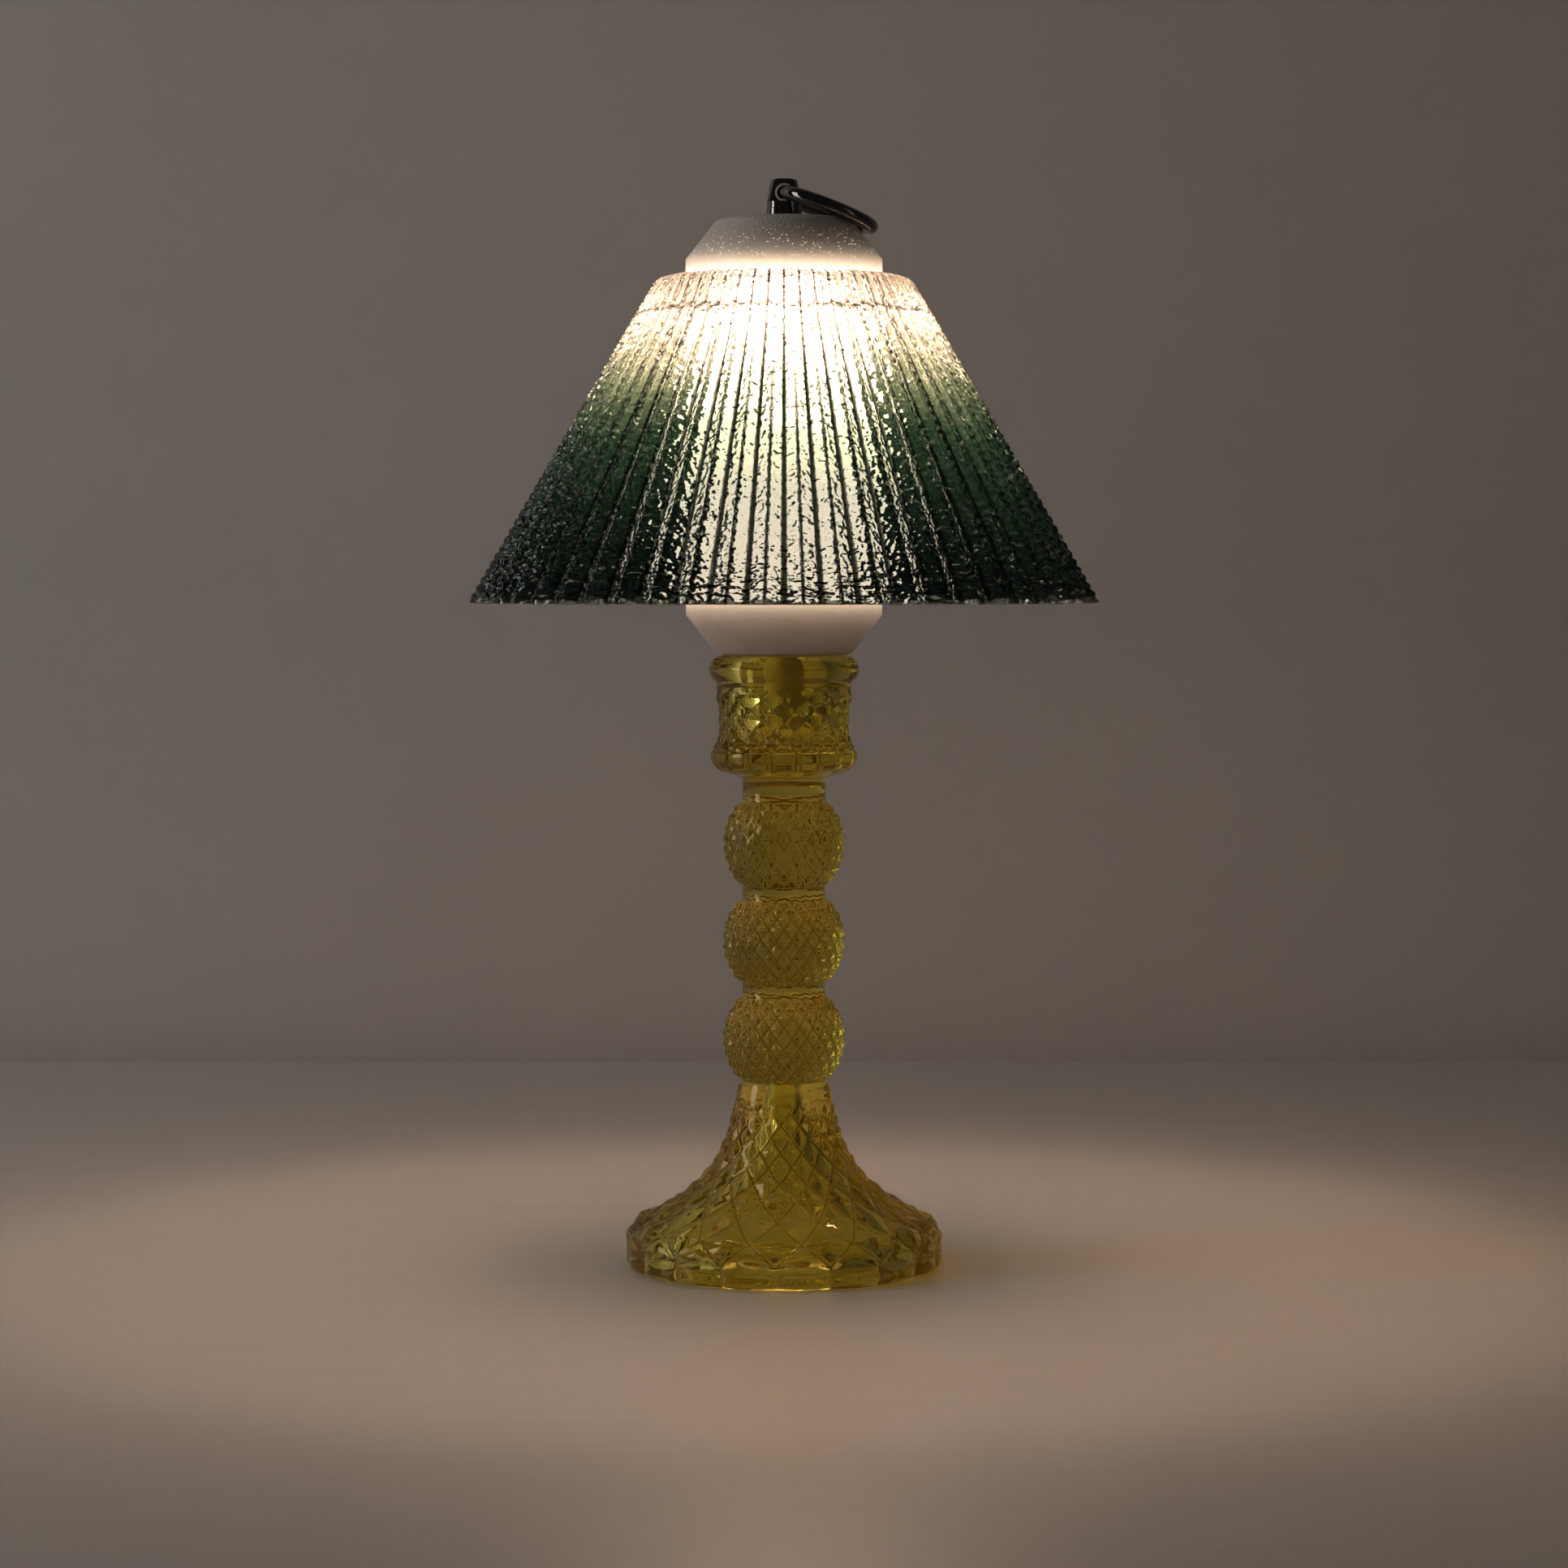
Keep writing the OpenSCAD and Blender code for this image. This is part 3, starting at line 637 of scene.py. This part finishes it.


def painted_glow_nylon():
    """Granular translucent white plastic. A painted glow, made as emission, brightens both caps near the diffuser and
    dies away from their edges, and painted glints shine on some grains of the top cap."""
    f = Finish("cap_nylon", Roughness=0.6)
    z = f.height()
    drift = f.noise(120.0, 3.0)
    f.link(f.mix(f.span(drift, 0.3, 0.7), (0.65, 0.58, 0.54), (0.77, 0.69, 0.65)), "Base Color")
    grains = f.cells(2500.0)
    picked = f.span(f.node("ShaderNodeSeparateXYZ", {"Vector": grains.outputs["Color"]}).outputs["X"], 0.76, 0.84)
    glint = f.math("MULTIPLY", picked, f.span(grains.outputs["Distance"], 0.32, 0.20))
    f.link(f.span(glint, 0.0, 1.0, 0.62, 0.12), "Roughness")
    first = f.bump(f.cells(2700.0).outputs["Distance"], 0.00012, 0.7)
    f.bump(f.noise(3200.0, 2.0), 0.00006, 0.6, first)
    # Painted glow: emission that brightens the top cap near its lower edge and the lower cap near the shade's rim,
    # dying away from them.
    rise = f.math("SUBTRACT", z, CAP_EDGE)
    painted_top_glow = f.math("MULTIPLY", f.math("EXPONENT", f.math("MULTIPLY", rise, -1 / TOP_FADE)), 2.0)
    painted_top_glow = f.math("MULTIPLY", f.math("MINIMUM", painted_top_glow, 3.0), f.span(z, CAP_EDGE - 0.02, CAP_EDGE - 0.019))
    sink = f.math("SUBTRACT", RIM_Z * MM, z)
    painted_low_glow = f.math("MULTIPLY", f.math("EXPONENT", f.math("MULTIPLY", sink, -1 / LOW_FADE)), 0.95)
    painted_low_glow = f.math("MULTIPLY", f.math("MINIMUM", painted_low_glow, 1.0), f.span(z, 0.141, 0.140))
    # Painted glints: emission on the picked grains, in a band a few millimetres above the top cap's lower edge.
    spread = f.math("MULTIPLY", f.span(rise, 0.0010, 0.0030), f.span(rise, 0.0085, 0.0042))
    painted_sparkle = f.math("MULTIPLY", glint, f.math("MULTIPLY", spread, 2.2))
    f.set("Emission Color", (1.0, 0.74, 0.50))
    f.link(f.math("ADD", f.math("ADD", painted_top_glow, painted_low_glow), painted_sparkle), "Emission Strength")
    return f.material


def lit_diffuser():
    """Milky tube, lit from its upper end, so that it is brightest there and dims downwards."""
    f = Finish("diffuser_plastic", Roughness=0.4)
    soft = f.noise(70.0, 2.0)
    f.link(f.mix(f.span(soft, 0.3, 0.7), (0.86, 0.82, 0.74), (0.93, 0.90, 0.83)), "Base Color")
    up = f.span(f.height(), 0.1296, 0.1910)
    level = f.ramp(up, (0.0, 0.16), (0.35, 0.17), (0.65, 0.21), (0.85, 0.46), (1.0, 1.0))
    f.link(f.ramp(up, (0.0, (1.0, 0.64, 0.43)), (1.0, (1.0, 0.66, 0.45))), "Emission Color")
    f.link(f.math("MULTIPLY", level, LAMP_LEVEL), "Emission Strength")
    f.bump(f.noise(1500.0, 2.0), 0.00002)
    return f.material


def dark_chrome():
    f = Finish("dark_chrome", Metallic=1.0)
    smudge = f.noise(190.0, 3.0)
    f.link(f.ramp(smudge, (0.3, (0.11, 0.105, 0.10)), (0.7, (0.17, 0.165, 0.16))), "Base Color")
    f.link(f.span(f.noise(700.0, 4.0), 0.35, 0.75, 0.03, 0.09), "Roughness")
    f.bump(f.noise(420.0, 2.0), 0.00001)
    return f.material


def circuit_board(name, mask, copper):
    f = Finish(name, Roughness=0.35)
    grid = f.node("ShaderNodeTexBrick", {"Vector": f.position(), "Scale": 260.0, "Color1": (*mask, 1),
                                         "Color2": (*mask, 1), "Mortar": (*copper, 1), "Mortar Size": 0.03})
    f.link(grid.outputs["Color"], "Base Color")
    f.link(f.span(f.noise(500.0, 2.0), 0.3, 0.7, 0.28, 0.42), "Roughness")
    f.bump(grid.outputs["Fac"], 0.00003)
    return f.material


def led_chip():
    f = Finish("led_chip", Roughness=0.3, Emission_Strength=6.0, Emission_Color=(1.0, 0.72, 0.42))
    f.link(f.ramp(f.noise(900.0, 2.0), (0.3, (0.85, 0.66, 0.20)), (0.7, (0.95, 0.80, 0.35))), "Base Color")
    f.bump(f.noise(1200.0, 2.0), 0.00002)
    return f.material


def battery_jacket():
    """A plain two-tone printed jacket over a steel can, with a bare positive end."""
    f = Finish("battery_jacket", Roughness=0.3)
    z = f.height()
    low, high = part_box("battery")[0].z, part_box("battery")[1].z
    share = f.span(z, low, high)
    print_colour = f.ramp(share, (0.0, (0.04, 0.11, 0.24)), (0.70, (0.05, 0.15, 0.33)), (0.72, (0.55, 0.57, 0.60)),
                          (0.93, (0.55, 0.57, 0.60)))
    scuffs = f.noise(400.0, 4.0)
    f.link(f.mix(f.span(scuffs, 0.62, 0.75), print_colour, (0.5, 0.5, 0.5)), "Base Color")
    f.link(f.span(scuffs, 0.3, 0.7, 0.22, 0.45), "Roughness")
    f.link(f.ramp(share, (0.70, 0.0), (0.72, 0.8)), "Metallic")
    f.bump(scuffs, 0.00001)
    return f.material


def dress_cad_nodes():
    white, grey_white = (0.86, 0.85, 0.81), (0.74, 0.72, 0.68)
    dress(painted_glow_nylon(), "bottom_cap", "top_cap", "peg")
    dress(lit_diffuser(), "diffuser")
    dress(dark_chrome(), "hanger_base", "swivel_post", "hang_ring")
    dress(wear("holder_plastic", white, grey_white, 0.5), "battery_tube", "tube_lid")
    dress(wear("reflector_white", (0.93, 0.92, 0.89), (0.85, 0.83, 0.79), 0.25, bump=0.00001), "reflector_cone")
    dress(wear("component_black", (0.045, 0.045, 0.045), (0.02, 0.02, 0.02), 0.42), "driver_parts",
          "tact_switch", "switch_plunger")
    dress(wear("button_plastic", (0.78, 0.76, 0.73), (0.66, 0.64, 0.61), 0.45), "power_button")
    dress(wear("lead_cover", (0.45, 0.04, 0.03), (0.30, 0.02, 0.02), 0.5), "power_leads")
    dress(metal("plated_steel", (0.72, 0.72, 0.73), (0.55, 0.55, 0.56), 0.3, (1, 1, 6)), "peg_nut", "post_nut",
          "board_screws", "spring_plate", "positive_contact")
    dress(metal("spring_steel", (0.62, 0.62, 0.64), (0.45, 0.45, 0.47), 0.25), "contact_spring")
    dress(metal("aluminium_disc", (0.80, 0.80, 0.81), (0.68, 0.68, 0.70), 0.35, (1, 1, 12)), "heat_spreader")
    dress(circuit_board("white_board", (0.82, 0.83, 0.80), (0.60, 0.50, 0.28)), "led_board")
    dress(circuit_board("green_board", (0.03, 0.16, 0.07), (0.30, 0.34, 0.12)), "driver_board", "switch_board")
    dress(led_chip(), "leds")
    dress(battery_jacket(), "battery")


# ------------------------------------------------------- stage, lights, camera

def make_stage():
    """A pale table top and a plain wall behind it, with a narrow gap between them. Both show only their front, so
    that the lamp can be looked at from behind and from below."""
    edge, wall, reach = 0.3235, 0.340, 1.6
    table = mesh_object("table_top", [(-reach, -1.4, 0), (reach, -1.4, 0), (reach, edge, 0), (-reach, edge, 0),
                                      (reach, edge, -0.03), (-reach, edge, -0.03)], [(0, 1, 2, 3), (3, 2, 4, 5)])
    back = mesh_object("wall", [(-reach, wall, -0.03), (reach, wall, -0.03), (reach, wall, 1.5), (-reach, wall, 1.5)],
                       [(0, 1, 2, 3)])
    for obj, name, light, dark, roughness in ((table, "table_paint", (0.62, 0.60, 0.57), (0.58, 0.56, 0.53), 0.34),
                                              (back, "wall_paint", (0.66, 0.63, 0.60), (0.62, 0.59, 0.56), 0.7)):
        f = Finish(name)
        f.link(f.ramp(f.noise(3.0, 3.0), (0.3, dark), (0.7, light)), "Base Color")
        grain = f.noise(60.0, 3.0, f.stretch(f.position(), (0.12, 5.0, 5.0)))
        f.link(f.span(grain, 0.3, 0.7, roughness * 0.9, roughness * 1.15), "Roughness")
        f.bump(grain, 0.00004)
        is_back = f.node("ShaderNodeNewGeometry").outputs["Backfacing"]
        open_back = f.node("ShaderNodeBsdfTransparent")
        one_sided = f.node("ShaderNodeMixShader", {0: is_back, 1: f.shader.outputs[0], 2: open_back.outputs[0]})
        f.tree.links.new(one_sided.outputs[0], f.out.inputs["Surface"])
        obj.data.materials.append(f.material)
        obj.data.polygons.foreach_set("use_smooth", [False] * len(obj.data.polygons))


def area_light(name, place, aim, size, power, colour=(1, 1, 1)):
    data = bpy.data.lights.new(name, "AREA")
    data.shape = "RECTANGLE"
    data.size, data.size_y = size
    data.energy = power
    data.color = colour
    lamp = bpy.data.objects.new(name, data)
    lamp.location = place
    lamp.rotation_euler = (Vector(aim) - Vector(place)).to_track_quat("-Z", "Y").to_euler()
    bpy.context.scene.collection.objects.link(lamp)


def make_lights():
    """A dim room: soft daylight from the left, a little from the right, and the lamp's own warm light."""
    world = bpy.data.worlds.new("studio")
    world.use_nodes = True
    world.node_tree.nodes["Background"].inputs["Color"].default_value = (1.0, 0.90, 0.80, 1)
    world.node_tree.nodes["Background"].inputs["Strength"].default_value = 0.026
    bpy.context.scene.world = world
    area_light("window_left", (-1.1, -0.15, 0.50), (-0.35, 0.34, 0.15), (0.35, 0.9), 3.3, (1.0, 0.975, 0.95))
    area_light("window_right", (0.9, -0.55, 0.45), (0, 0, 0.1), (0.25, 0.7), 0.12, (1.0, 0.97, 0.94))
    bpy.context.scene.view_settings.view_transform = "Standard"


def make_camera():
    """The photograph's view: a long lens a little above the middle of the lamp, tipped slightly down."""
    distance, height, aim, view_width = 0.760, 0.133, 0.094, 0.3047
    data = bpy.data.cameras.new("camera")
    data.sensor_width = 36
    data.lens = 36 * math.hypot(distance, height - aim) / view_width
    data.clip_start = 0.01
    camera = bpy.data.objects.new("camera", data)
    camera.location = (0, -distance, height)
    camera.rotation_euler = (Vector((0, 0, aim)) - camera.location).to_track_quat("-Z", "Y").to_euler()
    bpy.context.scene.collection.objects.link(camera)
    bpy.context.scene.camera = camera


make_candlestick()
make_shade()
make_collar()
dress_cad_nodes()
make_stage()
make_lights()
make_camera()
